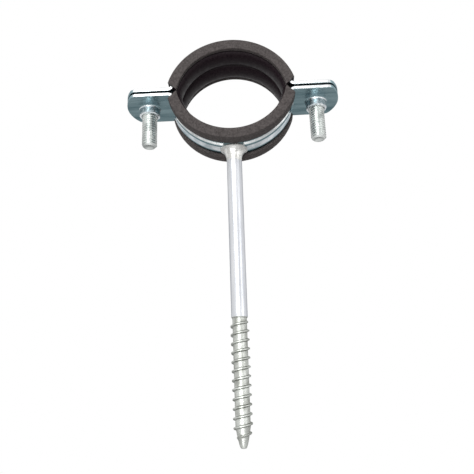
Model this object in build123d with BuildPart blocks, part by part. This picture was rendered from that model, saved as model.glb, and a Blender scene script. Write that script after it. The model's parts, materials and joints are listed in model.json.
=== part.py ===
"""Rubber lined pipe clamp on a wood screw.

The frame has +Z up, away from the wood screw, and Y along the pipe. The origin is the middle of the
clamp, in the plane where its two halves part. The clamp is closed with no pipe in it, so the centre
of each half's curve lies past the parting plane and the opening is lens shaped.
"""

import math
import os

from build123d import *

# Driving dimensions, in millimetres.
pipe_radius = 20.0  # the pipe that the ribs of the lining hold
closing_travel = 4.2  # from the parting plane to the centre of each half's curve
parting_gap = 0.2  # between the end faces of the two linings

lip_side = 0.9  # rubber beyond the band's edges
rib_height = 1.4  # from the lips' inner edge to the ribs' crests
web_thickness = 1.5  # rubber between the lips' inner edge and the band
lip_thickness = 1.2  # rubber over the band's outer face
lip_reach = 5.0  # from the lining's side to the lip's free edge
lip_round = 0.5
lip_land = 1.7  # flat inner edge beside each side of the lining
groove_depth = 0.5
groove_width = 0.7
lining_trim_height = 0.5  # above the parting plane, where the mitre meets the lips' inner edge
lining_fit = 0.03  # between rubber and steel

band_width = 20.0
band_thickness = 1.3
bead_width = 7.0
bead_height = 1.0
bead_slope = 0.9  # run of the bead's sloping sides
bead_half_angle = 60.0  # degrees, from the crown to the centre of the bead's rounded end

ear_gap = 0.8
ear_length = 41.7  # from the middle of the clamp to the ear's tip
ear_tip_rise = 3.5  # from the shoulders of the ear to its rounded tip
ear_corner = 3.0
ear_bend_radius = 1.3

screw_edge_distance = 8.7  # from the ear's tip to the screw's axis
screw_diameter = 5.9
screw_length = 20.0
screw_end_chamfer = 0.7
ear_hole_clearance = 0.1
collar_clearance = 0.05
head_diameter = 11.5
head_height = 3.6
head_rim = 1.0
head_seat_gap = 0.05
slot_width = 1.3
slot_depth = 1.6
recess_width = 5.6
recess_depth = 2.0
recess_bottom_width = 2.4

collar_diameter = 8.0
collar_height = 3.5
collar_root = 0.9  # flare where the collar is drawn out of the ear
collar_notch_count = 5
collar_notch_depth = 0.6
collar_notch_width = 1.1
collar_notch_taper = 20.0  # degrees, of the notch's sides

wood_screw_reach = 129.5  # from the parting plane to the point
shank_diameter = 5.8
thread_diameter = 6.9
thread_core_diameter = 5.0
thread_pitch = 3.08
thread_length = 36.5
thread_root_width = 1.5
thread_crest_width = 0.35
point_length = 6.9
point_tip_diameter = 1.5

weld_diameter = 10.8
weld_height = 3.8
weld_neck_height = 2.4
weld_lobe_count = 5
weld_lobe_radius = 1.9
weld_flare = 0.1  # run to rise of the weld's outline at both its ends

# Sizes that follow from them.
lip_inner_radius = pipe_radius + rib_height
band_inner_radius = lip_inner_radius + web_thickness
band_outer_radius = band_inner_radius + band_thickness
lining_outer_radius = band_outer_radius + lip_thickness
bead_outer_radius = band_outer_radius + bead_height
ear_underside = ear_gap / 2
ear_top = ear_underside + band_thickness
crown_height = lining_outer_radius + bead_height
clear_width = 4 * lining_outer_radius
lining_width = band_width + 2 * lip_side
ear_shoulder = ear_length - ear_tip_rise
screw_place = ear_length - screw_edge_distance
screw_radius = screw_diameter / 2
collar_bore_radius = screw_radius + collar_clearance
ear_hole_radius = screw_radius + ear_hole_clearance
band_bottom = closing_travel - bead_outer_radius

half_axis = Axis((0, 0, -closing_travel), (0, 1, 0))


def radial_plane(angle):
    """Plane through the upper half's axis: local X along the pipe, local Y outwards at the angle."""
    turn = math.radians(angle)
    return Plane(
        origin=(0, 0, -closing_travel),
        x_dir=(0, 1, 0),
        z_dir=(math.cos(turn), 0, -math.sin(turn)),
    )


def bead_profile(base_radius):
    """Outline of the raised bead above a face of the band, as corner points."""
    half = bead_width / 2
    return [
        (-half, base_radius),
        (-half + bead_slope, base_radius + bead_height),
        (half - bead_slope, base_radius + bead_height),
        (half, base_radius),
        (half, base_radius - band_thickness / 2),
        (-half, base_radius - band_thickness / 2),
    ]


def bead_solid(base_radius):
    """The raised bead on a face of the upper half, with its two rounded ends."""
    with BuildPart() as bead:
        with BuildSketch(radial_plane(-bead_half_angle)):
            Polygon(*bead_profile(base_radius), align=None)
        revolve(axis=half_axis, revolution_arc=2 * bead_half_angle)
        for angle in (-bead_half_angle, bead_half_angle):
            plane = radial_plane(angle)
            with BuildSketch(plane):
                Polygon(*bead_profile(base_radius), align=None)
                with Locations((bead_width, base_radius)):
                    Rectangle(2 * bead_width, 4 * band_thickness, mode=Mode.INTERSECT)
            revolve(axis=Axis(plane.origin, plane.y_dir))
    return bead.part


def band_half():
    """A stamped half of the band, the upper way round, with its two ears and its raised bead."""
    root_height = closing_travel + ear_underside
    ear_root = math.sqrt(band_inner_radius**2 - root_height**2)
    with BuildPart() as half:
        with BuildSketch(Plane.XZ) as section:
            with Locations((0, -closing_travel)):
                Circle(band_outer_radius)
                Circle(band_inner_radius, mode=Mode.SUBTRACT)
            with Locations((0, ear_underside + crown_height / 2)):
                Rectangle(clear_width, crown_height, mode=Mode.INTERSECT)
            for side in (-1, 1):
                with Locations((side * (ear_root + ear_length) / 2, (ear_underside + ear_top) / 2)):
                    Rectangle(ear_length - ear_root, band_thickness)
            ear_roots = section.vertices().group_by(Axis.Y)[0].sort_by(Axis.X)[1:-1]
            fillet(ear_roots, ear_bend_radius + band_thickness)
            outer_corners = [
                corner
                for corner in section.vertices()
                if abs(corner.Y - ear_top) < lining_fit and abs(corner.X) < band_outer_radius + band_thickness
            ]
            fillet(outer_corners, ear_bend_radius)
        extrude(amount=band_width / 2, both=True)
        with BuildSketch(Plane.XY) as plan:
            with BuildLine():
                half_width = band_width / 2
                Line((-ear_shoulder, half_width), (ear_shoulder, half_width))
                ThreePointArc((ear_shoulder, half_width), (ear_length, 0), (ear_shoulder, -half_width))
                Line((ear_shoulder, -half_width), (-ear_shoulder, -half_width))
                ThreePointArc((-ear_shoulder, -half_width), (-ear_length, 0), (-ear_shoulder, half_width))
            make_face()
            fillet(plan.vertices(), ear_corner)
        extrude(amount=crown_height, mode=Mode.INTERSECT)
        add(bead_solid(band_outer_radius))
        add(bead_solid(band_inner_radius), mode=Mode.SUBTRACT)
    return half.part


def lining_half():
    """A rubber lining, the upper way round: lips over the band's edges and two ribs on the inside."""
    side = lining_width / 2
    seat = band_width / 2 + lining_fit
    seat_inner = band_inner_radius - lining_fit
    seat_outer = band_outer_radius + lining_fit
    lip_edge = side - lip_reach
    groove_radius = lip_inner_radius + groove_depth
    rib_start = side - lip_land - groove_width
    with BuildPart() as half:
        with BuildSketch(radial_plane(-90)) as section:
            with BuildLine():
                Polyline(
                    (-side + lip_land, lip_inner_radius),
                    (-side, lip_inner_radius),
                    (-side, lining_outer_radius),
                    (-lip_edge, lining_outer_radius),
                    (-lip_edge, seat_outer),
                    (-seat, seat_outer),
                    (-seat, seat_inner),
                    (seat, seat_inner),
                    (seat, seat_outer),
                    (lip_edge, seat_outer),
                    (lip_edge, lining_outer_radius),
                    (side, lining_outer_radius),
                    (side, lip_inner_radius),
                    (side - lip_land, lip_inner_radius),
                    (rib_start, groove_radius),
                )
                ThreePointArc((rib_start, groove_radius), (rib_start / 2, pipe_radius), (0, groove_radius))
                ThreePointArc((0, groove_radius), (-rib_start / 2, pipe_radius), (-rib_start, groove_radius))
                Line((-rib_start, groove_radius), (-side + lip_land, lip_inner_radius))
            make_face()
            rounded = [
                corner
                for corner in section.vertices()
                if abs(abs(corner.X) - side) < lining_fit or abs(corner.Y - lining_outer_radius) < lining_fit
            ]
            fillet(rounded, lip_round)
        revolve(axis=half_axis, revolution_arc=180)
        bottom = parting_gap / 2
        mitre = lip_inner_radius - lining_trim_height
        with BuildSketch(Plane.XZ):
            Polygon(
                (-mitre, bottom),
                (mitre, bottom),
                (mitre + clear_width, bottom + clear_width),
                (-mitre - clear_width, bottom + clear_width),
                align=None,
            )
        extrude(amount=lining_width, both=True, mode=Mode.INTERSECT)
    return half.part


def clamp_screw(place):
    """A pan headed clamp screw with a combined slot and cross recess, hanging from the upper ear."""
    seat = ear_top + head_seat_gap
    tail = seat - screw_length
    head_radius = head_diameter / 2
    head_top = seat + head_height
    with BuildPart() as screw:
        with BuildSketch(Plane.XZ):
            with BuildLine():
                Polyline(
                    (0, head_top),
                    (0, tail),
                    (screw_radius - screw_end_chamfer, tail),
                    (screw_radius, tail + screw_end_chamfer),
                    (screw_radius, seat),
                    (head_radius, seat),
                    (head_radius, seat + head_rim),
                )
                TangentArc(
                    (head_radius, seat + head_rim),
                    (head_radius / 2, head_top),
                    tangent=(0, 1),
                )
                Line((head_radius / 2, head_top), (0, head_top))
            make_face()
        revolve(axis=Axis.Z)
        with BuildSketch(Plane.XY.offset(head_top)):
            Rectangle(head_diameter, slot_width)
        extrude(amount=-slot_depth, mode=Mode.SUBTRACT)
        with BuildSketch(Plane.XY.offset(head_top)):
            Rectangle(recess_width, slot_width)
            Rectangle(slot_width, recess_width)
        with BuildSketch(Plane.XY.offset(head_top - recess_depth)):
            Rectangle(recess_bottom_width, slot_width)
            Rectangle(slot_width, recess_bottom_width)
        loft(mode=Mode.SUBTRACT)
    return screw.part.moved(Location((place, 0, 0)))


def tapped_collar(place):
    """The collar drawn down out of a lower ear, with its torn rim; its bore is cut afterwards."""
    rim = collar_diameter / 2
    top = -ear_underside - band_thickness / 2
    bottom = -ear_top - collar_height
    with BuildPart() as collar:
        with BuildSketch(Plane.XZ):
            with BuildLine():
                Polyline(
                    (0, top),
                    (0, bottom),
                    (rim, bottom),
                    (rim, -ear_top - collar_root),
                )
                RadiusArc((rim, -ear_top - collar_root), (rim + collar_root, -ear_top), -collar_root)
                Polyline((rim + collar_root, -ear_top), (rim + collar_root, top), (0, top))
            make_face()
        revolve(axis=Axis.Z)
        with BuildSketch(Plane.XY.offset(bottom)):
            with PolarLocations(rim, collar_notch_count):
                Rectangle(collar_diameter / 2, collar_notch_width)
        extrude(amount=collar_notch_depth, taper=collar_notch_taper, mode=Mode.SUBTRACT)
    return collar.part.moved(Location((place, 0, 0)))


def wood_thread():
    """The ridge of the wood thread, faded out at both ends."""
    core = thread_core_diameter / 2
    crest = thread_diameter / 2
    low = -wood_screw_reach + point_length
    high = low + thread_length
    embed = core - (crest - core) / 2
    with BuildPart() as ridge:
        with BuildLine() as path:
            Helix(
                pitch=thread_pitch,
                height=thread_length - thread_pitch,
                radius=core,
                center=(0, 0, low + thread_pitch / 2),
            )
        start = Plane(origin=path.line @ 0, x_dir=(1, 0, 0), z_dir=path.line % 0)
        with BuildSketch(start):
            Polygon(
                (embed - core, -thread_root_width / 2),
                (0, -thread_root_width / 2),
                (crest - core, -thread_crest_width / 2),
                (crest - core, thread_crest_width / 2),
                (0, thread_root_width / 2),
                (embed - core, thread_root_width / 2),
                align=None,
            )
        sweep(path=path.line, is_frenet=True)
        with BuildSketch(Plane.XZ):
            Polygon(
                (0, low),
                (core, low),
                (crest, low + thread_pitch),
                (crest, high - thread_pitch),
                (core, high),
                (0, high),
                align=None,
            )
        revolve(axis=Axis.Z, mode=Mode.INTERSECT)
    return ridge.part


def wood_screw_body():
    """The wood screw: a plain shank that butts against the lower band, a threaded core and a point."""
    shank = shank_diameter / 2
    core = thread_core_diameter / 2
    tip = point_tip_diameter / 2
    thread_top = -wood_screw_reach + point_length + thread_length
    with BuildPart() as body:
        with BuildSketch(Plane.XZ):
            Polygon(
                (0, band_bottom + bead_height),
                (shank, band_bottom + bead_height),
                (shank, thread_top),
                (core, thread_top - (shank - core)),
                (core, -wood_screw_reach + point_length),
                (tip, -wood_screw_reach + tip / 2),
                (tip / 2, -wood_screw_reach),
                (0, -wood_screw_reach),
                align=None,
            )
        revolve(axis=Axis.Z)
        add(wood_thread())
        with BuildSketch(Plane.XZ):
            with Locations((0, closing_travel)):
                Circle(bead_outer_radius)
        extrude(amount=shank_diameter, both=True, mode=Mode.SUBTRACT)
    return body.part


os.makedirs("parts", exist_ok=True)
screw_places = {"left": -screw_place, "right": screw_place}

with BuildPart() as upper_band:
    add(band_half())
    with Locations(*[(place, 0, ear_top) for place in screw_places.values()]):
        Hole(ear_hole_radius, depth=band_thickness)
upper_band.part.label = "upper_band"
export_step(upper_band.part, "parts/upper_band.step")

with BuildPart() as lower_band:
    add(mirror(band_half(), about=Plane.XY))
    for place in screw_places.values():
        add(tapped_collar(place))
    with Locations(*[(place, 0, 0) for place in screw_places.values()]):
        Hole(collar_bore_radius, depth=ear_top + collar_height)
lower_band.part.label = "lower_band"
export_step(lower_band.part, "parts/lower_band.step")

with BuildPart() as upper_lining:
    add(lining_half())
upper_lining.part.label = "upper_lining"
export_step(upper_lining.part, "parts/upper_lining.step")

with BuildPart() as lower_lining:
    add(mirror(lining_half(), about=Plane.XY))
lower_lining.part.label = "lower_lining"
export_step(lower_lining.part, "parts/lower_lining.step")

for name, place in screw_places.items():
    with BuildPart() as screw:
        add(clamp_screw(place))
    screw.part.label = f"{name}_clamp_screw"
    export_step(screw.part, f"parts/{name}_clamp_screw.step")

with BuildPart() as wood_screw:
    add(wood_screw_body())
wood_screw.part.label = "wood_screw"
export_step(wood_screw.part, "parts/wood_screw.step")

with BuildPart() as weld_bead:
    with BuildSketch(Plane.XZ):
        with BuildLine():
            neck = band_bottom - weld_height - weld_neck_height
            Polyline(
                (weld_diameter / 2, band_bottom - weld_height / 2),
                (weld_diameter / 2, band_bottom + bead_height),
                (0, band_bottom + bead_height),
                (0, neck),
                (shank_diameter / 2, neck),
            )
            Spline(
                (shank_diameter / 2, neck),
                (weld_diameter / 2, band_bottom - weld_height / 2),
                tangents=((weld_flare, 1), (weld_flare, 1)),
            )
        make_face()
    revolve(axis=Axis.Z)
    with PolarLocations(weld_diameter / 2 - weld_lobe_radius / 2, weld_lobe_count):
        with Locations((0, 0, band_bottom - weld_height / 2)):
            Sphere(weld_lobe_radius)
    add(lower_band.part, mode=Mode.SUBTRACT)
    add(wood_screw.part, mode=Mode.SUBTRACT)
weld_bead.part.label = "weld_bead"
export_step(weld_bead.part, "parts/weld_bead.step")
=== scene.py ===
"""Dresses the rubber lined pipe clamp: fine meshes, finishes, studio and camera.

Everything is in the model's frame. Sizes in the pieces' classes are in millimetres and are turned
into metres where points are made. Angles in the fields of the classes are in degrees, unless
radians are named.
"""

import json
import logging
import math
from dataclasses import dataclass
from enum import Enum
from functools import cached_property
from typing import Callable, Sequence

import bmesh
import bpy
from bpy.types import ID, Material, MeshPolygon, Node, NodeSocket, NodeTree, Object
from mathutils import Matrix, Vector, noise


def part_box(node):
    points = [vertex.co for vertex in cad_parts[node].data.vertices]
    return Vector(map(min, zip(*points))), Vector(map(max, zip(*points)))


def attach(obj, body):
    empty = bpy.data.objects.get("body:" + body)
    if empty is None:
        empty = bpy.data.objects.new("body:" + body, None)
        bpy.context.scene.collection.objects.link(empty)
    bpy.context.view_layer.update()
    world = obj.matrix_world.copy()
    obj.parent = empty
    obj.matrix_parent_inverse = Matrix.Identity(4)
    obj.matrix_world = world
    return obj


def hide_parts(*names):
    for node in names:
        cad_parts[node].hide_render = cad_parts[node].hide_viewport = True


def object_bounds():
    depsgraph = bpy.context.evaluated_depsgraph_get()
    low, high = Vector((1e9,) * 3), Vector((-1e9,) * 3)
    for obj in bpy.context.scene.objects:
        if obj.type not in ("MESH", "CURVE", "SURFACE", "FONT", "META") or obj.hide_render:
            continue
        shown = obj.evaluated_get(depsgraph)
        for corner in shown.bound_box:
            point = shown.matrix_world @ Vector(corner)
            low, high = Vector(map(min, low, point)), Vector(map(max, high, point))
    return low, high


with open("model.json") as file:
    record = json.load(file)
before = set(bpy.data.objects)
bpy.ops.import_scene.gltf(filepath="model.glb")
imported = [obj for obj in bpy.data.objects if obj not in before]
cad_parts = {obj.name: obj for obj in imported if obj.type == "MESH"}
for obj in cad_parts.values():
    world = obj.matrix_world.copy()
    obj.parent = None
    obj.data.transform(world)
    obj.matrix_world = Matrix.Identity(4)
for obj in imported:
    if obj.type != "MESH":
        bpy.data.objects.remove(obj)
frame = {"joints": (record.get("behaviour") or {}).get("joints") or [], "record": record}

LOG = logging.getLogger("pipe_clamp")
METRES = 0.001
TINY = 1e-6
NOISE_MIDDLE = (0.3, 0.7)
NOISE_ROUGHNESS = 0.6
WHITE = (1.0, 1.0, 1.0, 1.0)
SENSOR_WIDTH = 36.0
CAD_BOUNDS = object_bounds()

Point2 = tuple[float, float]
Point3 = tuple[float, float, float]
Ring = Sequence[Sequence[float]]


class Half(Enum):
    """The two halves of the clamp; the value is the way each one faces along Z."""

    UPPER = 1
    LOWER = -1

    @property
    def body(self) -> str:
        """Name of the body that the half's pieces ride on."""
        return f"{self.name.lower()}_half"

    def node(self, piece: str) -> str:
        """Name of the CAD node of one of the half's pieces."""
        return f"{self.name.lower()}_{piece}"


class Side(Enum):
    """The two clamp screws; the value is the side of the ring along X."""

    LEFT = -1
    RIGHT = 1

    @property
    def node(self) -> str:
        """Name of the screw's CAD node."""
        return f"{self.name.lower()}_clamp_screw"

    @property
    def body(self) -> str:
        """Name of the body that the screw rides on."""
        return f"{self.name.lower()}_screw"


class Grain(Enum):
    """How the fine marks of a finish run."""

    EVEN = (1.0, 1.0, 1.0)
    ALONG_BAND = (0.12, 1.0, 0.12)
    ALONG_SCREW = (1.0, 1.0, 0.06)


# ---- meshes


def metres(points: Sequence[Sequence[float]]) -> list[Vector]:
    """Turns points in millimetres into vectors in metres."""
    return [Vector(point) * METRES for point in points]


def millimetres(corners: Sequence[Sequence[float]]) -> list[Vector]:
    """Turns the corners of a box in metres into vectors in millimetres."""
    return [Vector(corner) / METRES for corner in corners]


def link(name: str, data: ID) -> Object:
    """Puts a mesh, a lamp or a camera into the scene as an object at the origin.

    Args:
        name: Name of the new object.
        data: What the object shows.

    Returns:
        The new object.
    """
    piece = bpy.data.objects.new(name, data)
    bpy.context.scene.collection.objects.link(piece)
    return piece


def skin(name: str, rings: Sequence[Ring], looped: bool = False) -> Object:
    """Joins closed rings of points into one closed skin.

    Args:
        name: Name of the new object.
        rings: Closed rings, each with as many points, in millimetres.
        looped: Whether the last ring meets the first one, in place of a cap at both ends.

    Returns:
        The new object.
    """
    body = bmesh.new()
    rows = [[body.verts.new(point) for point in metres(ring)] for ring in rings]
    count = len(rows[0])
    for row, following in zip(rows, rows[1:] + rows[:1] if looped else rows[1:]):
        for here in range(count):
            there = (here + 1) % count
            body.faces.new((row[here], row[there], following[there], following[here]))
    if not looped:
        body.faces.new(list(reversed(rows[0])))
        body.faces.new(rows[-1])
    bmesh.ops.recalc_face_normals(body, faces=body.faces)
    mesh = bpy.data.meshes.new(name)
    body.to_mesh(mesh)
    body.free()
    return link(name, mesh)


def cut(piece: Object, tool: Object, operation: str) -> None:
    """Applies an exact boolean to a piece and removes the tool.

    Args:
        piece: Object that is changed.
        tool: Closed object that does the cutting.
        operation: DIFFERENCE, INTERSECT or UNION.
    """
    boolean = piece.modifiers.new("cut", "BOOLEAN")
    boolean.operation = operation
    boolean.solver = "EXACT"
    boolean.object = tool
    depsgraph = bpy.context.evaluated_depsgraph_get()
    mesh = bpy.data.meshes.new_from_object(piece.evaluated_get(depsgraph))
    piece.modifiers.clear()
    piece.data = mesh
    bpy.data.objects.remove(tool)


def smooth(piece: Object, crease: float) -> None:
    """Shades a piece smooth, apart from edges that turn by more than the crease in degrees."""
    piece.data.shade_smooth()
    piece.data.set_sharp_from_angle(angle=math.radians(crease))


def level_ring(
    radius_at: Callable[[float], float], z: float, sides: int, centre: Point2 = (0.0, 0.0)
) -> list[Point3]:
    """A level ring round an upright axis.

    Args:
        radius_at: Radius for an angle in radians.
        z: Height of the ring.
        sides: Points in the ring.
        centre: X and Y of the axis.

    Returns:
        The points of the ring.
    """
    ring = []
    for step in range(sides):
        angle = 2 * math.pi * step / sides
        radius = radius_at(angle)
        ring.append((centre[0] + radius * math.cos(angle), centre[1] + radius * math.sin(angle), z))
    return ring


def turned_rings(
    profile: Sequence[Point2], sides: int, centre: Point2 = (0.0, 0.0)
) -> list[list[Point3]]:
    """Rings of a turned form.

    Args:
        profile: Radius and height of each ring.
        sides: Points in each ring.
        centre: X and Y of the axis.

    Returns:
        The rings.
    """
    return [level_ring(lambda _: radius, z, sides, centre) for radius, z in profile]


def rounded_loop(corners: Sequence[Point3], steps: int) -> list[Point2]:
    """Rounds the corners of a closed outline.

    Args:
        corners: X, Y and rounding radius of each corner.
        steps: Segments of each rounded corner.

    Returns:
        The points of the rounded outline.
    """
    loop: list[Point2] = []
    count = len(corners)
    for index, (x, y, radius) in enumerate(corners):
        here = Vector((x, y))
        before = Vector(corners[index - 1][:2]) - here
        after = Vector(corners[(index + 1) % count][:2]) - here
        turn = before.angle(after)
        reach = radius / math.tan(turn / 2) if radius else 0.0
        reach = min(reach, before.length / 2, after.length / 2)
        if reach < TINY:
            loop.append((x, y))
            continue
        start = here + before.normalized() * reach
        end = here + after.normalized() * reach
        for step in range(steps + 1):
            t = step / steps
            point = start * (1 - t) ** 2 + here * 2 * t * (1 - t) + end * t**2
            loop.append((point.x, point.y))
    return loop


def join(pieces: Sequence[Object]) -> None:
    """Joins several objects into the first one.

    Args:
        pieces: The objects; all but the first are removed.
    """
    merged = bmesh.new()
    for piece in pieces:
        merged.from_mesh(piece.data)
    merged.to_mesh(pieces[0].data)
    merged.free()
    for piece in pieces[1:]:
        bpy.data.objects.remove(piece)


def coat(
    piece: Object,
    finishes: Sequence[Material],
    choose: Callable[[MeshPolygon], int] | None = None,
) -> None:
    """Gives a piece its finishes.

    Args:
        piece: The piece.
        finishes: Its materials.
        choose: Gives a face's place in the finishes; without it the first one covers all.
    """
    piece.data.materials.clear()
    for finish in finishes:
        piece.data.materials.append(finish)
    if choose is not None:
        for face in piece.data.polygons:
            face.material_index = choose(face)


def dress(piece: Object, node: str, body: str) -> Object:
    """Puts a finished piece in place of its CAD node.

    Args:
        piece: The new piece.
        node: The CAD node that it stands for.
        body: The body that it rides on.

    Returns:
        The piece.
    """
    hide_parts(node)
    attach(piece, body)
    return piece


def smoothstep(value: float) -> float:
    """Eases a value from 0 to 1, held at both ends."""
    value = min(max(value, 0.0), 1.0)
    return value * value * (3 - 2 * value)


# ---- finishes


@dataclass
class NodeBench:
    """Short calls for wiring a material's nodes.

    Attributes:
        tree: The node tree that is wired.
    """

    tree: NodeTree

    def add(self, kind: str, **values: object) -> Node:
        """Adds a node.

        Args:
            kind: Type name of the node.
            values: The node's values, as put takes them.

        Returns:
            The node.
        """
        return self.put(self.tree.nodes.new(kind), **values)

    def put(self, node: Node, **values: object) -> Node:
        """Sets values of a node.

        Args:
            node: The node.
            values: Attributes of the node, or values of its sockets by name, with _ for a space.

        Returns:
            The node.
        """
        for name, value in values.items():
            if hasattr(node, name):
                setattr(node, name, value)
            else:
                node.inputs[name.replace("_", " ")].default_value = value
        return node

    def join(self, source: NodeSocket, target: NodeSocket) -> None:
        """Links one socket to another."""
        self.tree.links.new(source, target)

    def noise(self, scale: float, grain: Grain, detail: float) -> NodeSocket:
        """Adds a noise texture in the piece's own coordinates.

        Args:
            scale: Features per metre.
            grain: Direction in which the features are drawn out.
            detail: Octaves of the noise.

        Returns:
            The noise's factor socket.
        """
        coordinates = self.add("ShaderNodeTexCoord")
        mapping = self.add("ShaderNodeMapping", Scale=grain.value)
        texture = self.add("ShaderNodeTexNoise", Scale=scale, Detail=detail)
        self.put(texture, Roughness=NOISE_ROUGHNESS)
        self.join(coordinates.outputs["Object"], mapping.inputs["Vector"])
        self.join(mapping.outputs["Vector"], texture.inputs["Vector"])
        return texture.outputs["Fac"]

    def ramp(
        self, factor: NodeSocket, stops: Sequence[tuple[float, Sequence[float]]]
    ) -> NodeSocket:
        """Adds a colour ramp.

        Args:
            factor: Socket that drives the ramp.
            stops: Place and linear colour of each stop.

        Returns:
            The ramp's colour socket.
        """
        node = self.add("ShaderNodeValToRGB")
        elements = node.color_ramp.elements
        while len(elements) < len(stops):
            elements.new(0.5)
        for element, (place, colour) in zip(elements, stops):
            element.position = place
            element.color = (*colour, 1.0)
        self.join(factor, node.inputs["Fac"])
        return node.outputs["Color"]

    def spread(
        self, factor: NodeSocket, low: float, high: float
    ) -> NodeSocket:
        """Maps the middle range of a noise to values from low to high.

        Args:
            factor: The noise's factor socket.
            low: Value at the low end.
            high: Value at the high end.

        Returns:
            The socket of the mapped value.
        """
        start, end = NOISE_MIDDLE
        node = self.add("ShaderNodeMapRange", From_Min=start, From_Max=end, To_Min=low, To_Max=high)
        self.join(factor, node.inputs["Value"])
        return node.outputs["Result"]

    def plainly_seen(self) -> NodeSocket:
        """Tells camera, glossy and transmission rays from the rest.

        Returns:
            A socket that is 1 for those three kinds of ray alike, and 0 for any other.
        """
        path = self.add("ShaderNodeLightPath")
        clear = self.add("ShaderNodeMath", operation="MAXIMUM")
        seen = self.add("ShaderNodeMath", operation="MAXIMUM")
        self.join(path.outputs["Is Camera Ray"], clear.inputs[0])
        self.join(path.outputs["Is Glossy Ray"], clear.inputs[1])
        self.join(clear.outputs[0], seen.inputs[0])
        self.join(path.outputs["Is Transmission Ray"], seen.inputs[1])
        return seen.outputs[0]

    def bump(
        self, height: NodeSocket, depth: float, under: NodeSocket | None = None
    ) -> NodeSocket:
        """Adds a bump, on top of another one if given.

        Args:
            height: Socket of the height.
            depth: Depth of the bump in millimetres.
            under: Normal socket of the bump below it.

        Returns:
            The bump's normal socket.
        """
        node = self.add("ShaderNodeBump", Strength=1.0, Distance=depth * METRES)
        self.join(height, node.inputs["Height"])
        if under is not None:
            self.join(under, node.inputs["Normal"])
        return node.outputs["Normal"]


def blank_material(name: str) -> tuple[Material, NodeBench, Node]:
    """Starts a node material.

    Args:
        name: Name of the material.

    Returns:
        The material, a bench for its nodes and its surface shader.
    """
    material = bpy.data.materials.new(name)
    material.use_nodes = True
    return material, NodeBench(material.node_tree), material.node_tree.nodes["Principled BSDF"]


@dataclass(frozen=True)
class Finish:
    """A finish with blended colours, wear, and coarse and fine marks in its surface.

    Attributes:
        name: Name of the material.
        low: Linear colour where its noise is low.
        high: Linear colour where its noise is high.
        roughness: Lowest and highest roughness.
        stops: Places in the noise of the colours, evenly blended from low to high.
        grain: How the marks run.
        scales: Features per metre of the colours, the wear, the coarse and the fine marks.
        octaves: Octaves of those four.
        depths: Depths of the coarse and the fine marks in millimetres.
    """

    name: str
    low: Point3
    high: Point3
    roughness: tuple[float, float]
    stops: tuple[float, ...]
    grain: Grain
    scales: tuple[float, ...]
    octaves: tuple[float, ...]
    depths: tuple[float, float]

    def own_values(self) -> dict[str, object]:
        """Constant values of the shader's own sockets."""
        return {}

    def material(self) -> Material:
        """Builds the material.

        Returns:
            The material.
        """
        material, bench, shader = blank_material(self.name)
        bench.put(shader, **self.own_values())
        colour, wear, coarse, fine = (
            bench.noise(scale, self.grain, octaves)
            for scale, octaves in zip(self.scales, self.octaves)
        )
        last = len(self.stops) - 1
        stops = []
        for step, place in enumerate(self.stops):
            blend = [(a * (last - step) + b * step) / last for a, b in zip(self.low, self.high)]
            stops.append((place, blend))
        bench.join(bench.ramp(colour, stops), shader.inputs["Base Color"])
        bench.join(bench.spread(wear, *self.roughness), shader.inputs["Roughness"])
        lumps = bench.bump(coarse, self.depths[0])
        bench.join(bench.bump(fine, self.depths[1], lumps), shader.inputs["Normal"])
        return material


@dataclass(frozen=True)
class ZincFinish(Finish):
    """Zinc plated steel with a bluish passivation, or bare metal.

    Attributes:
        rim_tint: Tint of the gloss at grazing angles.
    """

    # The default colours, which the strip takes, are darker than plain zinc plating: painted shade.
    low: Point3 = (0.12, 0.20, 0.225)
    high: Point3 = (0.30, 0.41, 0.44)
    roughness: tuple[float, float] = (0.22, 0.42)
    stops: tuple[float, ...] = (0.30, 0.45, 0.62)
    grain: Grain = Grain.EVEN
    scales: tuple[float, ...] = (260.0, 900.0, 420.0, 5200.0)
    octaves: tuple[float, ...] = (4.0, 2.0, 1.0, 3.0)
    depths: tuple[float, float] = (0.02, 0.004)
    rim_tint: Point3 = (0.50, 0.53, 0.55)

    def own_values(self) -> dict[str, object]:
        """Metal, with its tint at grazing angles."""
        return {"Metallic": 1.0, "Specular_Tint": (*self.rim_tint, 1.0)}


@dataclass(frozen=True)
class RubberFinish(Finish):
    """Extruded black rubber with a thin film of dust.

    Attributes:
        gloss: Specular level.
    """

    stops: tuple[float, ...] = (0.35, 0.68)
    grain: Grain = Grain.EVEN
    scales: tuple[float, ...] = (1500.0, 700.0, 380.0, 4200.0)
    octaves: tuple[float, ...] = (6.0, 3.0, 1.0, 3.0)
    depths: tuple[float, float] = (0.05, 0.02)
    gloss: float = 0.25

    def own_values(self) -> dict[str, object]:
        """The specular level."""
        return {"Specular_IOR_Level": self.gloss}


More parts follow.
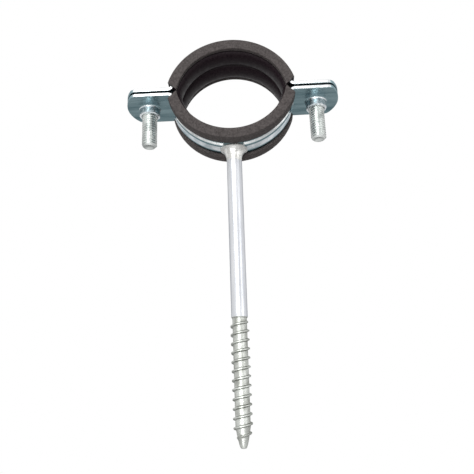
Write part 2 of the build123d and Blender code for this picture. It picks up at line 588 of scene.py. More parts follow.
FINISHES = (
    # The strip's zinc is darker than plain zinc plating, as painted shade.
    ZincFinish("zinc_strip", grain=Grain.ALONG_BAND),
    # Brighter zinc for the collars, which also paints a highlight on the bead's crown.
    ZincFinish("zinc_drawn", high=(0.95, 0.98, 1.0), low=(0.42, 0.50, 0.54)),
    # Brighter zinc as a painted highlight on the strip's edges and the bead's slopes.
    ZincFinish("zinc_sheared", high=(0.78, 0.80, 0.80), low=(0.52, 0.56, 0.57)),
    ZincFinish(
        "zinc_screw", high=(0.88, 0.91, 0.89), low=(0.52, 0.55, 0.54),
        roughness=(0.24, 0.38), depths=(0.006, 0.004), rim_tint=(0.16, 0.17, 0.17),
    ),
    ZincFinish(
        "zinc_shank", high=(0.76, 0.77, 0.79), low=(0.54, 0.56, 0.60),
        grain=Grain.ALONG_SCREW, rim_tint=(0.22, 0.23, 0.26),
    ),
    ZincFinish(
        "zinc_rolled", high=(0.64, 0.66, 0.63), low=(0.34, 0.35, 0.32),
        roughness=(0.32, 0.5), rim_tint=(0.26, 0.27, 0.26),
    ),
    ZincFinish("weld_metal", high=(0.76, 0.76, 0.74), low=(0.42, 0.41, 0.39), depths=(0.03, 0.004)),
    # The inside's rubber is darker than the flank's, partly as painted shade inside the ring.
    RubberFinish(
        "rubber_inside", low=(0.009, 0.004, 0.007), high=(0.027, 0.019, 0.022),
        roughness=(0.42, 0.58), gloss=0.12,
    ),
    RubberFinish(
        "rubber_flank", low=(0.055, 0.047, 0.046), high=(0.125, 0.110, 0.107),
        roughness=(0.65, 0.85), gloss=0.25,
    ),
)


# ---- sizes shared by the pieces


@dataclass(frozen=True)
class ClampSizes:
    """Sizes that several pieces share, in millimetres.

    Attributes:
        pipe_radius: Radius of the pipe that the ribs hold.
        lining_outer: Outer radius over the rubber lips.
        lining_side: Half the width of the lining.
        parting: Height of the upper lining's end face above the parting plane.
        band_side: Half the width of the band.
        ear_underside: Height of the upper ear above the parting plane.
        ear_length: From the middle of the clamp to the ear's tip.
        screw_place: From the middle of the clamp to a clamp screw's axis.
        closing_travel: From the parting plane to the centre of each half's curve.
        band_thickness: Thickness of the strip.
        lip_thickness: Rubber over the band's outer face.
    """

    pipe_radius: float
    lining_outer: float
    lining_side: float
    parting: float
    band_side: float
    ear_underside: float
    ear_length: float
    screw_place: float
    closing_travel: float = 4.2
    band_thickness: float = 1.3
    lip_thickness: float = 1.2

    @classmethod
    def from_frame(cls) -> "ClampSizes":
        """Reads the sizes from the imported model.

        Returns:
            The sizes; the last three have no box or mount to be read from.
        """
        lining_low, lining_high = millimetres(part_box("upper_lining"))
        band_low, band_high = millimetres(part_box("upper_band"))
        seats = {mount["name"]: mount for mount in frame["record"]["mounts"]}
        turns = {joint["name"]: joint for joint in frame["joints"]}
        return cls(
            pipe_radius=seats["pipe_seat"]["dims"]["r_mm"],
            lining_outer=lining_high.z + cls.closing_travel,
            lining_side=lining_high.y,
            parting=lining_low.z,
            band_side=band_high.y,
            ear_underside=band_low.z,
            ear_length=band_high.x,
            screw_place=turns["right_screw_turn"]["pos_m"][0] / METRES,
        )

    @property
    def band_outer(self) -> float:
        """Radius of the band's outer face."""
        return self.lining_outer - self.lip_thickness

    @property
    def band_inner(self) -> float:
        """Radius of the band's inner face."""
        return self.band_outer - self.band_thickness

    def over_band(self, half: Half, x: float, z: float) -> float:
        """Height of a place above the band's outer face, along a radius of a half's ring."""
        return math.hypot(x, half.value * z + self.closing_travel) - self.band_outer

    @property
    def ear_top(self) -> float:
        """Height of the upper ear's top above the parting plane."""
        return self.ear_underside + self.band_thickness


# ---- the steel band


@dataclass(frozen=True)
class Station:
    """A place along the strip.

    Attributes:
        x: X of the strip's inner face.
        z: Height of the strip's inner face.
        lean: X of the outward normal.
        rise: Z of the outward normal.
        side: Half the width of the strip there.
        crown_angle: Angle from the crown in radians.
    """

    x: float
    z: float
    lean: float
    rise: float
    side: float
    crown_angle: float


@dataclass
class BandHalf:
    """A stamped half of the band, with its ears, its raised bead and, below, its drawn collars.

    Attributes:
        half: Which half it is.
        sizes: Sizes shared with the other pieces.
        finish: Material of the strip, darker than plain zinc plating as painted shade.
        drawn: Brighter material of the drawn collars, and a painted highlight on the crown of the
            bead.
        edge_and_slope_highlight: Brighter material, a painted highlight on the strip's shear-cut
            edges and the bead's slopes.
    """

    half: Half
    sizes: ClampSizes
    finish: Material
    drawn: Material
    edge_and_slope_highlight: Material
    # the strip, its section and its bends
    bend_radius: float = 1.3
    edge_round: float = 0.22
    least_flat: float = 0.02
    width_steps: int = 76
    bend_steps: int = 10
    arc_steps: int = 130
    crease: float = 35.0
    # the raised bead round the crown; past the half angle it runs out
    bead_width: float = 7.0
    bead_height: float = 1.0
    bead_slope: float = 0.9
    bead_half_angle: float = 60.0
    # the ears, with rounded tips and corners, and the holes through them
    ear_tip_rise: float = 3.5
    ear_corner: float = 3.0
    ear_steps: int = 12
    tip_steps: int = 24
    ear_hole_radius: float = 3.03
    hole_sides: int = 64
    hole_reach: float = 3.0
    # the collars: grooved bore, drafted wall, rounded rim and flared root
    collar_radius: float = 4.0
    collar_bore: float = 2.98
    collar_height: float = 3.5
    collar_root: float = 0.9
    collar_steps: int = 72
    bore_groove: float = 0.25
    bore_mouth: float = 0.3
    bore_steps: int = 12
    rim_round: float = 0.35
    draft: float = 0.05
    draft_height: float = 1.2
    root_steps: int = 6
    # the torn rim: depth of the tears, where they start, and the noise that places them
    torn_coarse: float = 0.55
    torn_fine: float = 0.3
    torn_start: float = 1.4
    torn_run: float = 1.6
    collar_swell: float = 0.12
    seed_radius: float = 2.2
    seed_shift: float = 3.0
    coarse_rate: float = 1.6
    fine_rate: float = 4.0
    swell_rate: float = 1.1
    # which faces take the painted highlights: width of the crown, and lean of edges and slopes
    crown_width: float = 3.8
    edge_lean: float = 0.9
    slope_lean: float = 0.55

    def stations(self) -> list[Station]:
        """Follows the strip round the half.

        Returns:
            Places along the strip, from the left ear's tip to the right ear's tip.
        """
        sizes = self.sizes
        inner_bend = self.bend_radius + sizes.band_thickness
        bend_z = sizes.ear_underside + inner_bend
        reach = sizes.band_inner + inner_bend
        bend_x = math.sqrt(reach**2 - (bend_z + sizes.closing_travel) ** 2)
        arc_end = math.atan2(bend_x, bend_z + sizes.closing_travel)
        right: list[Station] = []
        for step in range(self.arc_steps // 2 + 1):
            angle = arc_end * step / (self.arc_steps // 2)
            lean, rise = math.sin(angle), math.cos(angle)
            x = sizes.band_inner * lean
            z = sizes.band_inner * rise - sizes.closing_travel
            right.append(Station(x, z, lean, rise, sizes.band_side, angle))
        for step in range(1, self.bend_steps + 1):
            angle = arc_end * (1 - step / self.bend_steps)
            lean, rise = math.sin(angle), math.cos(angle)
            x, z = bend_x - inner_bend * lean, bend_z - inner_bend * rise
            right.append(Station(x, z, lean, rise, sizes.band_side, math.pi / 2))
        for x, side in self.ear_outline(bend_x):
            right.append(Station(x, sizes.ear_underside, 0.0, 1.0, side, math.pi / 2))
        left = [
            Station(-one.x, one.z, -one.lean, one.rise, one.side, -one.crown_angle)
            for one in reversed(right[1:])
        ]
        return left + right

    def ear_outline(self, start: float) -> list[Point2]:
        """Places along the ear, each with the ear's half width there.

        Args:
            start: X where the ear starts.

        Returns:
            X and half width of each place, out to the rounded tip.
        """
        side, rise, corner = self.sizes.band_side, self.ear_tip_rise, self.ear_corner
        tip_radius = (rise**2 + side**2) / (2 * rise)
        tip_x = self.sizes.ear_length - tip_radius
        corner_x = tip_x + math.sqrt((tip_radius - corner) ** 2 - (side - corner) ** 2)
        meeting = math.atan2(side - corner, corner_x - tip_x)
        straight = range(1, self.ear_steps + 1)
        outline = [(start + (corner_x - start) * step / self.ear_steps, side) for step in straight]
        for step in range(1, self.bend_steps + 1):
            angle = math.pi / 2 + (meeting - math.pi / 2) * step / self.bend_steps
            half_width = side - corner + corner * math.sin(angle)
            outline.append((corner_x + corner * math.cos(angle), half_width))
        for step in range(1, self.tip_steps + 1):
            angle = meeting * (1 - step / self.tip_steps)
            outline.append((tip_x + tip_radius * math.cos(angle), tip_radius * math.sin(angle)))
        return outline

    def bead(self, across: float, crown_angle: float) -> float:
        """Height of the raised bead at a place.

        Args:
            across: Place across the strip.
            crown_angle: Angle round the ring from the crown, in radians.

        Returns:
            The height.
        """
        past = max(abs(crown_angle) - math.radians(self.bead_half_angle), 0.0)
        off = math.hypot(across, past * self.sizes.band_outer)
        return self.bead_height * smoothstep((self.bead_width / 2 - off) / self.bead_slope)

    def ring(self, station: Station) -> list[Point3]:
        """Outline of the strip's section.

        Args:
            station: Where the section is.

        Returns:
            The points of the outline.
        """
        thickness = self.sizes.band_thickness
        edge = self.edge_round
        flat = max(station.side - edge, self.least_flat)
        across = [flat * (2 * step / self.width_steps - 1) for step in range(self.width_steps + 1)]
        section = [(y, thickness + self.bead(y, station.crown_angle)) for y in across]
        corner = [(math.sin(a), math.cos(a)) for a in (math.pi / 6, math.pi / 3)]
        ends = [(flat + edge * s, thickness - edge * (1 - c)) for s, c in corner]
        ends += [(flat + edge, thickness - edge), (flat + edge, edge)]
        ends += [(flat + edge * c, edge * (1 - s)) for s, c in corner]
        section += ends
        section += [(y, self.bead(y, station.crown_angle)) for y in reversed(across)]
        section += [(-y, height) for y, height in reversed(ends)]
        facing = self.half.value
        return [
            (station.x + station.lean * height, y, facing * (station.z + station.rise * height))
            for y, height in section
        ]

    def collar_profile(self, top: float, root: float) -> list[Point2]:
        """Section of a collar: its grooved bore, rim, wall and flared root.

        Args:
            top: Height of the section's end inside the ear.
            root: Height of the ear's underside.

        Returns:
            Radius and height of each point.
        """
        bottom = root - self.collar_height
        mouth = bottom + self.bore_mouth
        wall, bore, flare = self.collar_radius, self.collar_bore, self.collar_root
        profile = [(bore, top)]
        for step in range(1, self.bore_steps + 1):
            groove = self.bore_groove * (step % 2)
            profile.append((bore + groove, top + (mouth - top) * step / self.bore_steps))
        profile += [(bore + self.bore_groove, bottom), (wall - self.rim_round, bottom)]
        profile += [(wall, bottom + self.rim_round)]
        profile += [(wall - self.draft, bottom + self.draft_height), (wall, root - flare)]
        for step in range(1, self.root_steps + 1):
            angle = math.pi / 2 * step / self.root_steps
            z = root - flare * (1 - math.sin(angle))
            profile.append((wall + flare * (1 - math.cos(angle)), z))
        return profile + [(wall + flare, top)]

    def collar(self, side: Side) -> Object:
        """The collar drawn down out of a lower ear, with a torn rim and a tapped bore.

        Args:
            side: Which ear it is drawn out of.

        Returns:
            The collar.
        """
        top = -self.sizes.ear_underside - self.sizes.band_thickness / 2
        root = -self.sizes.ear_top
        centre_x = side.value * self.sizes.screw_place
        rings = []
        for radius, z in self.collar_profile(top, root):
            ring = []
            for step in range(self.collar_steps):
                angle = 2 * math.pi * step / self.collar_steps
                cosine, sine = math.cos(angle), math.sin(angle)
                shift = side.value * self.seed_shift
                seed = Vector((cosine * self.seed_radius, sine * self.seed_radius, shift))
                coarse = noise.noise(seed * self.coarse_rate)
                fine = noise.noise(seed * self.fine_rate)
                torn = self.torn_coarse * max(coarse, 0.0) + self.torn_fine * max(fine, 0.0)
                depth = smoothstep((root - self.torn_start - z) / self.torn_run)
                swell = self.collar_swell * noise.noise(seed * self.swell_rate) * depth
                reach = min(radius + swell, self.collar_radius + self.collar_root)
                ring.append((centre_x + reach * cosine, reach * sine, z + torn * depth))
            rings.append(ring)
        return skin(f"collar_{side.name.lower()}", rings, looped=True)

    def face_slot(self, face: MeshPolygon) -> int:
        """Chooses the material of a face by what part of the stamping it is on.

        Args:
            face: A face of the finished mesh.

        Returns:
            0 for the strip, 1 for a collar or the bead's crown, 2 for an edge or the bead's slope;
            the crown, edges and slopes are painted highlights.
        """
        x, y, z = face.center / METRES
        sizes = self.sizes
        off_axis = math.hypot(abs(x) - sizes.screw_place, y)
        near_axis = off_axis < self.collar_radius + self.collar_root
        if near_axis and z < -sizes.ear_top - self.edge_round:
            return 1
        lift = sizes.over_band(self.half, x, z)
        on_ring = abs(x) < sizes.band_outer
        on_crown = abs(y) < self.crown_width / 2 and lift > self.bead_height / 2
        # The bead's crown takes the brighter zinc as a painted highlight.
        if on_ring and on_crown:
            return 1
        # Edges and the bead's slopes that face along Y take the brighter zinc as a painted
        # highlight.
        lean = self.slope_lean if on_ring else self.edge_lean
        return 2 if abs(face.normal.y) > lean and not near_axis else 0

    def build(self) -> Object:
        """Builds the half band and puts it in place of its CAD node.

        Returns:
            The half band.
        """
        name = f"{self.half.node('band')}_strip"
        piece = skin(name, [self.ring(station) for station in self.stations()])
        for side in Side:
            centre = (side.value * self.sizes.screw_place, 0.0)
            reach = self.half.value * self.hole_reach * self.sizes.ear_top
            wall = [(self.ear_hole_radius, 0.0), (self.ear_hole_radius, reach)]
            cut(piece, skin("hole", turned_rings(wall, self.hole_sides, centre)), "DIFFERENCE")
        if self.half is Half.LOWER:
            join([piece] + [self.collar(side) for side in Side])
        smooth(piece, self.crease)
        coat(piece, (self.finish, self.drawn, self.edge_and_slope_highlight), self.face_slot)
        return dress(piece, self.half.node("band"), self.half.body)


# ---- the rubber lining


@dataclass
class LiningHalf:
    """A rubber lining: lips over the band's edges and two ribs on the inside.

    Attributes:
        half: Which half it is.
        sizes: Sizes shared with the other pieces.
        inside: Material of the ribs and grooves, darker than the flank's dustier rubber and further
            darkened as painted shade inside the ring.
        flank: Material of the side faces, the lands beside them and the lips.
    """

    half: Half
    sizes: ClampSizes
    inside: Material
    flank: Material
    # the section: ribs, grooves and slits inside, lips and lands at the sides
    rib_height: float = 1.4
    groove_depth: float = 0.5
    groove_width: float = 0.6
    slit_depth: float = 0.95
    slit_foot: float = 0.15
    lip_land: float = 1.7
    lip_reach: float = 5.0
    # rounding of the section's corners, and shape of the ribs' crowns
    lip_round: float = 0.45
    seat_round: float = 0.12
    land_round: float = 0.2
    slit_round: float = 0.1
    crown_power: float = 1.2
    # gap to the band, margin beside the lands, and where the mitre of the ends starts
    fit: float = 0.03
    land_margin: float = 0.02
    trim_height: float = 0.5
    # steps, and how far the ring is swept to each side before it is trimmed
    corner_steps: int = 4
    rib_steps: int = 22
    arc_steps: int = 176
    sweep: float = 100.0
    crease: float = 35.0

    def section(self) -> list[Point2]:
        """Outline of the lining's section.

        Returns:
            Place along the pipe and radius of each point.
        """
        sizes = self.sizes
        side, outer = sizes.lining_side, sizes.lining_outer
        lip_inner = sizes.pipe_radius + self.rib_height
        seat = sizes.band_side + self.fit
        seat_inner, seat_outer = sizes.band_inner - self.fit, sizes.band_outer + self.fit
        edge = side - self.lip_reach
        groove = lip_inner + self.groove_depth
        land = side - self.lip_land
        start = land - self.groove_width
        slit = lip_inner + self.slit_depth
        slit_foot = lip_inner + self.slit_foot
        soft, tight, foot = self.lip_round, self.seat_round, self.slit_round
        right = [
            (seat, seat_inner, tight),
            (seat, seat_outer, tight),
            (edge, seat_outer, tight),
            (edge, outer, soft),
            (side, outer, soft),
            (side, lip_inner, soft),
            (land, lip_inner, self.land_round),
            (land, slit, foot),
            (start, slit, foot),
        ]
        left = [(-y, radius, turn) for y, radius, turn in reversed(right)]
        ribs = self.rib(start, 0.0, slit_foot, groove)
        ribs += self.rib(0.0, -start, groove, slit_foot)[1:]
        ridges = [(y, radius, 0.0) for y, radius in ribs]
        return rounded_loop(left[2:] + right + ridges + left[:2], self.corner_steps)

    def rib(self, start: float, end: float, foot: float, far_foot: float) -> list[Point2]:
        """A rib's rounded crown, from one foot to the other.

        Args:
            start: Place of the first foot along the pipe.
            end: Place of the second foot.
            foot: Radius at the first foot.
            far_foot: Radius at the second foot.

        Returns:
            Places along the pipe, with radii.
        """
        points = []
        for step in range(self.rib_steps + 1):
            share = step / self.rib_steps
            level = foot if share < 0.5 else far_foot
            crown = math.sqrt(max(1.0 - (2.0 * share - 1.0) ** 2, 0.0)) ** self.crown_power
            radius = level + (self.sizes.pipe_radius - level) * crown
            points.append((start + (end - start) * share, radius))
        return points

    def ring(self, angle: float) -> list[Point3]:
        """Places the section at an angle round the pipe.

        Args:
            angle: Angle from the crown, in radians.

        Returns:
            The points of the section.
        """
        facing = self.half.value
        drop = self.sizes.closing_travel
        return [
            (radius * math.sin(angle), y, facing * (radius * math.cos(angle) - drop))
            for y, radius in self.section()
        ]

    def trim_block(self) -> Object:
        """Block that holds what stays of the ring once its ends are mitred clear of the ears.

        Returns:
            The block.
        """
        low = self.sizes.parting
        mitre = self.sizes.pipe_radius + self.rib_height - self.trim_height
        far = 2 * self.sizes.lining_outer
        outline = [(-mitre, low), (mitre, low), (mitre + far, low + far), (-mitre - far, low + far)]
        rings = [[(x, y, self.half.value * z) for x, z in outline] for y in (-far, far)]
        return skin("trim", rings)

    def face_slot(self, face: MeshPolygon) -> int:
        """Chooses the material of a face by where it is on the lining.

        Args:
            face: A face of the finished mesh.

        Returns:
            0 for the inside, darker as painted shade, 1 for the side faces, the lands beside them
            and the lips.
        """
        x, y, z = face.center / METRES
        land = self.sizes.lining_side - self.lip_land - self.land_margin
        # The inside takes the darker rubber, which paints the shade inside the ring.
        return int(abs(y) > land or self.sizes.over_band(self.half, x, z) > 2 * self.fit)

    def build(self) -> Object:
        """Builds the lining and puts it in place of its CAD node.

        Returns:
            The lining.
        """
        name = f"{self.half.node('lining')}_rubber"
        limit = math.radians(self.sweep)
        angles = [limit * (2 * step / self.arc_steps - 1) for step in range(self.arc_steps + 1)]
        piece = skin(name, [self.ring(angle) for angle in angles])
        cut(piece, self.trim_block(), "INTERSECT")
        smooth(piece, self.crease)
        coat(piece, (self.inside, self.flank), self.face_slot)
        return dress(piece, self.half.node("lining"), self.half.body)


# ---- the screws


@dataclass(frozen=True)
class Thread:
    """A right handed thread round Z with a rounded crest and root.

    Attributes:
        pitch: Rise in one turn.
        height: Height of the ridge above its root.
        foot_width: Width of the ridge at its foot.
        crest_width: Width of the crest.
    """

    pitch: float
    height: float
    foot_width: float
    crest_width: float

    def ridge(self, angle: float, z: float) -> float:
        """Height of the ridge above the root.

        Args:
            angle: Angle round the axis, in radians.
            z: Height.

        Returns:
            How far the thread stands out.
        """
        phase = (z / self.pitch - angle / (2 * math.pi)) % 1.0
        off = abs(phase - 0.5) * self.pitch
        flank = (self.foot_width - self.crest_width) / 2
        return self.height * smoothstep((self.foot_width / 2 - off) / flank)


@dataclass
class ClampScrew:
    """An M6 pan headed clamp screw.

    Attributes:
        side: Which of the two it is.
        sizes: Sizes shared with the other pieces.
        finish: Material of the screw.
    """

    side: Side
    sizes: ClampSizes
    finish: Material
    shaft_radius: float = 2.95
    length: float = 20.0
    head_radius: float = 5.75
    head_height: float = 3.6
    head_rim: float = 1.0
    chamfer: float = 0.7
    # the slot and the cross recess in the head
    slot_width: float = 1.3
    slot_depth: float = 1.6
    recess_width: float = 5.6
    recess_bottom: float = 2.4
    recess_depth: float = 2.0
    slot_overrun: float = 1.2
    recess_taper: float = 0.9
    drive_reach: float = 0.5
    # small roundings, and radius and height of the rings of the hollow end
    head_edge: float = 0.15
    head_flat: float = 0.2
    hollow_end: tuple[Point2, ...] = ((0.2, 0.35), (1.5, 0.2), (1.75, 0.0))
    # the thread
    pitch: float = 1.0
    thread_height: float = 0.6
    thread_foot: float = 0.96
    thread_crest: float = 0.12
    thread_step: float = 0.07
    dome_steps: int = 16
    sides: int = 72
    crease: float = 38.0

    @property
    def thread(self) -> Thread:
        """The screw's thread."""
        return Thread(self.pitch, self.thread_height, self.thread_foot, self.thread_crest)

    @property
    def centre(self) -> Point2:
        """X and Y of the screw's axis."""
        return (self.side.value * self.sizes.screw_place, 0.0)

    def radius_at(self, angle: float, z: float) -> float:
        """Radius of the shaft.

        Args:
            angle: Angle round the axis, in radians.
            z: Height.

        Returns:
            The radius, with the thread and the chamfer at the end.
        """
        tail = self.head_seat - self.length
        chamfered = self.shaft_radius - self.chamfer + (z - tail)
        root = self.shaft_radius - self.thread_height
        return min(root + self.thread.ridge(angle, z), chamfered)

    @cached_property
    def head_seat(self) -> float:
        """Height of the head's underside."""
        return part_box(self.side.node)[1][2] / METRES - self.head_height

    def shaft_and_head(self) -> Object:
        """Skin of the threaded shaft and the domed head.

        Returns:
            The screw, with its recess still to be cut.
        """
        seat, edge = self.head_seat, self.head_edge
        tail = seat - self.length
        end = [(radius, tail + above) for radius, above in self.hollow_end]
        rings = turned_rings(end, self.sides, self.centre)
        count = int(self.length / self.thread_step)
        for step in range(count + 1):
            z = tail + self.length * step / count
            ring = level_ring(lambda angle: self.radius_at(angle, z), z, self.sides, self.centre)
            rings.append(ring)
        rim_top = seat + self.head_rim
        rise = self.head_height - self.head_rim
        profile = [(self.shaft_radius, seat), (self.head_radius - edge, seat)]
        profile += [(self.head_radius, seat + edge), (self.head_radius, rim_top)]
        for step in range(1, self.dome_steps + 1):
            angle = math.pi / 2 * step / self.dome_steps
            reach = self.head_radius / 2 * (1 + math.cos(angle))
            profile.append((reach, rim_top + rise * math.sin(angle)))
        profile.append((self.head_flat, rim_top + rise))
        rings += turned_rings(profile, self.sides, self.centre)
        return skin(f"{self.side.node}_thread", rings)

    def drive(self, tool_half: Point2, bottom_half: Point2, depth: float) -> Object:
        """A tapered block that cuts one stroke of the head's recess.

        Args:
            tool_half: Half sizes along X and Y at the head's top.
            bottom_half: Half sizes at the bottom of the stroke.
            depth: Depth of the stroke.

        Returns:
            The block.
        """
        top = self.head_seat + self.head_height
        ends = ((bottom_half, top - depth), (tool_half, top + self.drive_reach))
        corners = ((-1, -1), (1, -1), (1, 1), (-1, 1))
        return skin(
            "drive",
            [[(self.centre[0] + a * x, b * y, z) for a, b in corners] for (x, y), z in ends],
        )

    def build(self) -> Object:
        """Builds the screw and puts it in place of its CAD node.

        Returns:
            The screw.
        """
        piece = self.shaft_and_head()
        thin = self.slot_width / 2
        wide, low = self.recess_width / 2, self.recess_bottom / 2
        across, taper = self.head_radius * self.slot_overrun, thin * self.recess_taper
        for stroke in (
            self.drive((across, thin), (across, thin), self.slot_depth),
            self.drive((thin, wide), (taper, low), self.recess_depth),
            self.drive((wide, thin), (low, taper), self.recess_depth),
        ):
            cut(piece, stroke, "DIFFERENCE")
        smooth(piece, self.crease)
        coat(piece, (self.finish,))
        return dress(piece, self.side.node, self.side.body)


@dataclass
class WoodScrew:
    """The long wood screw: a plain shank, a coarse rolled thread and a blunt point.

    Attributes:
        finish: Material of the plain shank.
        rolled: Material of the thread and the point.
    """

    finish: Material
    rolled: Material
    shank_radius: float = 2.9
    core_radius: float = 2.55
    crest_radius: float = 3.3
    pitch: float = 3.08
    thread_length: float = 36.5
    thread_start: float = 2.2
    point_length: float = 6.9
    tip_radius: float = 0.75
    tip_fullness: float = 0.6
    # the blunt nose, the thread's section and the step up to the shank
    nose: float = 0.15
    nose_share: float = 0.75
    nose_rise: float = 0.03
    thread_foot: float = 1.15
    thread_crest: float = 0.35
    run_out: float = 0.5
    # the mark round the shank, the rolled skin and the gap under the band's bead
    mark_height: float = 61.5
    mark_width: float = 0.3
    mark_depth: float = 0.09
    rolling_depth: float = 0.035
    rolling_stretch: float = 0.35
    rolling_rate: float = 2.3
    top_gap: float = 0.2
    # spacing of the rings, fine on the thread and a little beyond it
    step: float = 0.09
    fine_margin: float = 1.0
    shank_step: float = 0.8
    sides: int = 88
    crease: float = 40.0

    @property
    def thread(self) -> Thread:
        """The coarse thread."""
        height = self.crest_radius - self.core_radius
        return Thread(self.pitch, height, self.thread_foot, self.thread_crest)

    @property
    def thread_top(self) -> float:
        """Height of the thread's end above the tip."""
        return self.point_length + self.thread_length

    def body_radius(self, above_tip: float) -> float:
        """Radius of the point, the threaded core and the shank.

        Args:
            above_tip: Height above the tip.

        Returns:
            The radius without the thread's ridge.
        """
        if above_tip < self.point_length:
            share = above_tip / self.point_length
            return self.tip_radius + (self.core_radius - self.tip_radius) * share**self.tip_fullness
        step_share = (above_tip - self.thread_top + self.run_out) / self.run_out
        return self.core_radius + (self.shank_radius - self.core_radius) * smoothstep(step_share)

    def radius_at(self, angle: float, z: float) -> float:
        """Radius of the screw.

        Args:
            angle: Angle round the axis, in radians.
            z: Height.

        Returns:
            The radius, with the thread, the rolled skin and the mark round the shank.
        """
        above = z - self.tip
        body = self.body_radius(above)
        low = (above - self.thread_start) / self.pitch
        high = (self.thread_top - above) / self.pitch
        strength = smoothstep(min(low, 1.0)) * smoothstep(min(high, 1.0))
        ridge = self.thread.ridge(angle, z) * strength
        place = Vector((math.cos(angle), math.sin(angle), z * self.rolling_stretch))
        rolling = self.rolling_depth * noise.noise(place * self.rolling_rate)
        mark = self.mark_depth * math.exp(-(((above - self.mark_height) / self.mark_width) ** 2))
        return min(body + ridge - mark + min(rolling, 0.0), self.crest_radius)

    @cached_property
    def tip(self) -> float:
        """Height of the tip."""
        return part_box("wood_screw")[0][2] / METRES

    @cached_property
    def top(self) -> float:
        """Height where the shank butts against the bead of the band."""
        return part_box("wood_screw")[1][2] / METRES - self.top_gap

    def heights(self) -> list[float]:
        """Places the rings, close together on the thread and wider apart on the shank.

        Returns:
            Heights of the rings.
        """
        fine_top = self.tip + self.point_length + self.thread_length + self.fine_margin
        count = int((fine_top - self.tip) / self.step)
        start, span = self.tip + self.nose, fine_top - self.tip - self.nose
        fine = [start + span * step / count for step in range(count)]
        count = int((self.top - fine_top) / self.shank_step)
        return fine + [fine_top + (self.top - fine_top) * step / count for step in range(count + 1)]

    def build(self) -> Object:
        """Builds the wood screw and puts it in place of its CAD node.

        Returns:
            The wood screw.
        """
        second = (self.tip_radius * self.nose_share, self.tip + self.nose_rise)
        rings = turned_rings([(self.nose, self.tip), second], self.sides)
        for z in self.heights():
            rings.append(level_ring(lambda angle: self.radius_at(angle, z), z, self.sides))
        piece = skin("wood_screw_wire", rings)
        smooth(piece, self.crease)
        border = (self.tip + self.point_length + self.thread_length) * METRES
        coat(piece, (self.finish, self.rolled), lambda face: int(face.center.z < border))
        return dress(piece, "wood_screw", Half.LOWER.body)


@dataclass
class WeldBead:
    """The lumpy collar of weld metal between the shank and the band.

    Attributes:
        finish: Material of the weld metal.
    """

    finish: Material
    shank_radius: float = 2.9
    widest: float = 5.3
    lump: float = 0.22
    foot_share: float = 0.82
    shoulder_share: float = 0.86
    shoulder: float = 0.25
    sink: float = 0.15
    # gap at the foot, overlap with the shank, and the lumps
    foot_gap: float = 0.1
    overlap: float = 0.05
    lump_start: float = 0.5
    lump_rate: float = 0.42
    fine_share: float = 0.5
    fine_rate: float = 2.4
    fine_shift: Point3 = (7.0, 3.0, 1.0)
    sides: int = 120
    rows: int = 44
    crease: float = 60.0

    def profile(self, share: float, low: float, high: float) -> Point2:
        """Radius and height along the bead, from its foot on the shank up into the band.

        Args:
            share: Share of the way up.
            low: Height of the foot.
            high: Height of the top.

        Returns:
            Radius without lumps, and height.
        """
        turn = math.pi / 2 * min(share / self.foot_share, 1.0)
        flare = 1.0 - math.cos(turn)
        rise = math.sin(turn) * self.foot_share + max(share - self.foot_share, 0.0)
        past = (share - self.shoulder_share) / (1.0 - self.shoulder_share)
        shoulder = self.shoulder * smoothstep(past)
        foot = self.shank_radius - self.overlap
        radius = foot + (self.widest - self.shank_radius) * flare - shoulder
        return radius, low + (high - low) * rise

    def bulge(self, place: Vector, share: float) -> float:
        """How far the lumps stand out.

        Args:
            place: Place on the bead without lumps.
            share: Share of the way up.

        Returns:
            What the lumps add to the radius.
        """
        coarse = noise.noise(place * self.lump_rate)
        fine = noise.noise(place * self.lump_rate * self.fine_rate + Vector(self.fine_shift))
        return self.lump * (coarse + self.fine_share * fine) * smoothstep(share / self.lump_start)

    def build(self) -> Object:
        """Builds the weld and puts it in place of its CAD node.

        Returns:
            The weld.
        """
        box_low, box_high = millimetres(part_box("weld_bead"))
        reach = min(box_high.x, box_high.y, -box_low.x, -box_low.y)
        rings = []
        for row in range(self.rows + 1):
            share = row / self.rows
            radius, z = self.profile(share, box_low.z + self.foot_gap, box_high.z + self.sink)

            def radius_at(angle: float) -> float:
                """Radius with lumps, for an angle in radians."""
                place = Vector((math.cos(angle) * radius, math.sin(angle) * radius, z))
                return min(radius + self.bulge(place, share), reach)

            rings.append(level_ring(radius_at, z, self.sides))
        piece = skin("weld_bead_metal", rings)
        smooth(piece, self.crease)
        coat(piece, (self.finish,))
        return dress(piece, "weld_bead", Half.LOWER.body)


# ---- studio


@dataclass(frozen=True)
class Lamp:
    """A soft area lamp.

    Attributes:
        name: Name of the lamp.
        place: Where it stands, in metres.
        size: Edge of its square face, in metres.
        power: Power in watts.
    """

    name: str
    place: Point3
    size: float
    power: float


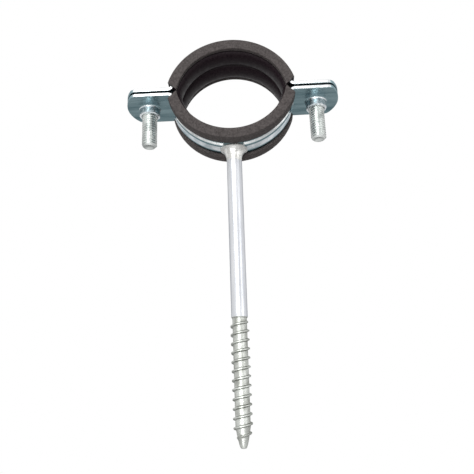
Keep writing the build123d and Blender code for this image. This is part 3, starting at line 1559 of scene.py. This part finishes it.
@dataclass
class Studio:
    """Pale floor, white surroundings, soft lamps and the camera.

    Attributes:
        frame_pixels: Width and height of the image.
        focal_pixels: Focal length in pixels of the image.
        origin_pixel: Where the model's origin falls in the image.
        distance: From the camera's plane to the model's origin, in metres.
        azimuth: Degrees round Z, 0 looks along +Y.
        elevation: Degrees above the horizon, below 0 looks up.
        roll: Degrees round the view axis.
        floor_drop: From the screw's point down to the floor, in metres.
        floor_radius: Radius of the round floor, in metres.
        floor_sides: Sides of the floor's rim.
        fade_start: From here outward the floor fades to white, in metres.
        floor_lift: Glow of the floor before the fade, for rays that see white surroundings.
        floor_grey: Linear grey of the floor.
        floor_roughness: Roughness of the floor.
        ambient: Strength of the surroundings for all but camera, glossy and transmission rays.
        near_clip: Nearest distance that the camera sees, in metres.
        lamps: The soft lamps.
    """

    frame_pixels: float = 474.0
    focal_pixels: float = 554.8
    origin_pixel: Point2 = (232.4, 102.0)
    distance: float = 0.2212
    azimuth: float = 1.8
    elevation: float = -17.35
    roll: float = -1.9
    floor_drop: float = 0.47
    floor_radius: float = 4.2
    floor_sides: int = 128
    fade_start: float = 1.6
    floor_lift: float = 0.42
    floor_grey: float = 0.85
    floor_roughness: float = 0.9
    ambient: float = 0.12
    near_clip: float = 0.01
    lamps: tuple[Lamp, ...] = (
        Lamp("key_lamp", (-0.25, -0.95, 0.5), 0.8, 4.5),
        Lamp("front_lamp", (-0.15, -0.95, -0.3), 0.4, 4.5),
        Lamp("side_lamp", (0.8, -0.6, 0.1), 0.5, 1.0),
    )

    def camera_axes(self) -> tuple[Vector, Vector, Vector]:
        """Turns the view's angles into directions.

        Returns:
            Right, up and forward of the camera.
        """
        a, e, r = (math.radians(value) for value in (self.azimuth, self.elevation, self.roll))
        back = Vector((math.sin(a) * math.cos(e), -math.cos(a) * math.cos(e), math.sin(e)))
        right = Vector((math.cos(a), math.sin(a), 0.0))
        up = right.cross(-back)
        turned_right = right * math.cos(r) + up * math.sin(r)
        turned_up = up * math.cos(r) - right * math.sin(r)
        return turned_right, turned_up, -back

    def place_camera(self) -> None:
        """Makes the scene's camera."""
        right, up, forward = self.camera_axes()
        middle = self.frame_pixels / 2
        aside = (self.origin_pixel[0] - middle) / self.focal_pixels * self.distance
        below = (self.origin_pixel[1] - middle) / self.focal_pixels * self.distance
        place = -(right * aside - up * below + forward * self.distance)
        data = bpy.data.cameras.new("camera")
        data.sensor_width = SENSOR_WIDTH
        data.lens = self.focal_pixels / self.frame_pixels * data.sensor_width
        data.clip_start = self.near_clip
        camera = link("camera", data)
        turn = Matrix((right, up, -forward)).transposed().to_4x4()
        camera.matrix_world = Matrix.Translation(place) @ turn
        bpy.context.scene.camera = camera

    def light_surroundings(self) -> None:
        """White surroundings for camera, glossy and transmission rays, softer for the rest."""
        world = bpy.data.worlds.new("surroundings")
        world.use_nodes = True
        bpy.context.scene.world = world
        bench = NodeBench(world.node_tree)
        background = world.node_tree.nodes["Background"]
        bench.put(background, Color=WHITE)
        strength = bench.add("ShaderNodeMath", operation="MAXIMUM")
        strength.inputs[1].default_value = self.ambient
        bench.join(bench.plainly_seen(), strength.inputs[0])
        bench.join(strength.outputs[0], background.inputs["Strength"])

    def lay_floor(self) -> None:
        """A wide round pale floor below the hanging clamp, which fades to white at its rim."""
        rim = level_ring(lambda _: self.floor_radius, 0.0, self.floor_sides)
        mesh = bpy.data.meshes.new("floor")
        mesh.from_pydata(rim, [], [tuple(range(self.floor_sides))])
        floor = link("floor", mesh)
        floor.location.z = CAD_BOUNDS[0][2] - self.floor_drop
        material, bench, shader = blank_material("pale_floor")
        grey = (*[self.floor_grey] * 3, 1.0)
        bench.put(shader, Base_Color=grey, Roughness=self.floor_roughness, Specular_IOR_Level=0.0)
        bench.put(shader, Emission_Color=WHITE)
        coordinates = bench.add("ShaderNodeTexCoord")
        outward = bench.add("ShaderNodeVectorMath", operation="LENGTH")
        fade = bench.add(
            "ShaderNodeMapRange", interpolation_type="SMOOTHSTEP",
            From_Min=self.fade_start, From_Max=self.floor_radius, To_Min=self.floor_lift,
        )
        lift = bench.add("ShaderNodeMath", operation="MULTIPLY")
        bench.join(coordinates.outputs["Object"], outward.inputs[0])
        bench.join(outward.outputs["Value"], fade.inputs["Value"])
        bench.join(fade.outputs["Result"], lift.inputs[0])
        bench.join(bench.plainly_seen(), lift.inputs[1])
        bench.join(lift.outputs[0], shader.inputs["Emission Strength"])
        coat(floor, (material,))

    def hang_lamps(self) -> None:
        """Makes the lamps, all facing the clamp."""
        for lamp in self.lamps:
            data = bpy.data.lights.new(lamp.name, "AREA")
            data.size = lamp.size
            data.energy = lamp.power
            light = link(lamp.name, data)
            light.location = lamp.place
            light.rotation_euler = (-Vector(lamp.place)).to_track_quat("-Z", "Y").to_euler()

    def build(self) -> None:
        """Sets up the whole studio."""
        bpy.context.scene.view_settings.view_transform = "Standard"
        self.light_surroundings()
        self.lay_floor()
        self.hang_lamps()
        self.place_camera()


def main() -> None:
    """Builds every piece in order, then the studio."""
    logging.basicConfig(level=logging.INFO, format="%(name)s: %(message)s")
    sizes = ClampSizes.from_frame()
    strip, drawn, edge_and_slope_highlight, bolt, wire, rolled, weld, inside, flank = (
        finish.material() for finish in FINISHES
    )
    parts: list[BandHalf | LiningHalf | ClampScrew | WoodScrew | WeldBead] = []
    for half in Half:
        parts.append(BandHalf(half, sizes, strip, drawn, edge_and_slope_highlight))
        parts.append(LiningHalf(half, sizes, inside, flank))
    parts += [ClampScrew(side, sizes, bolt) for side in Side]
    parts += [WoodScrew(wire, rolled), WeldBead(weld)]
    for part in parts:
        piece = part.build()
        LOG.info("%s: %d faces", piece.name, len(piece.data.polygons))
    Studio().build()


if __name__ == "__main__":
    main()
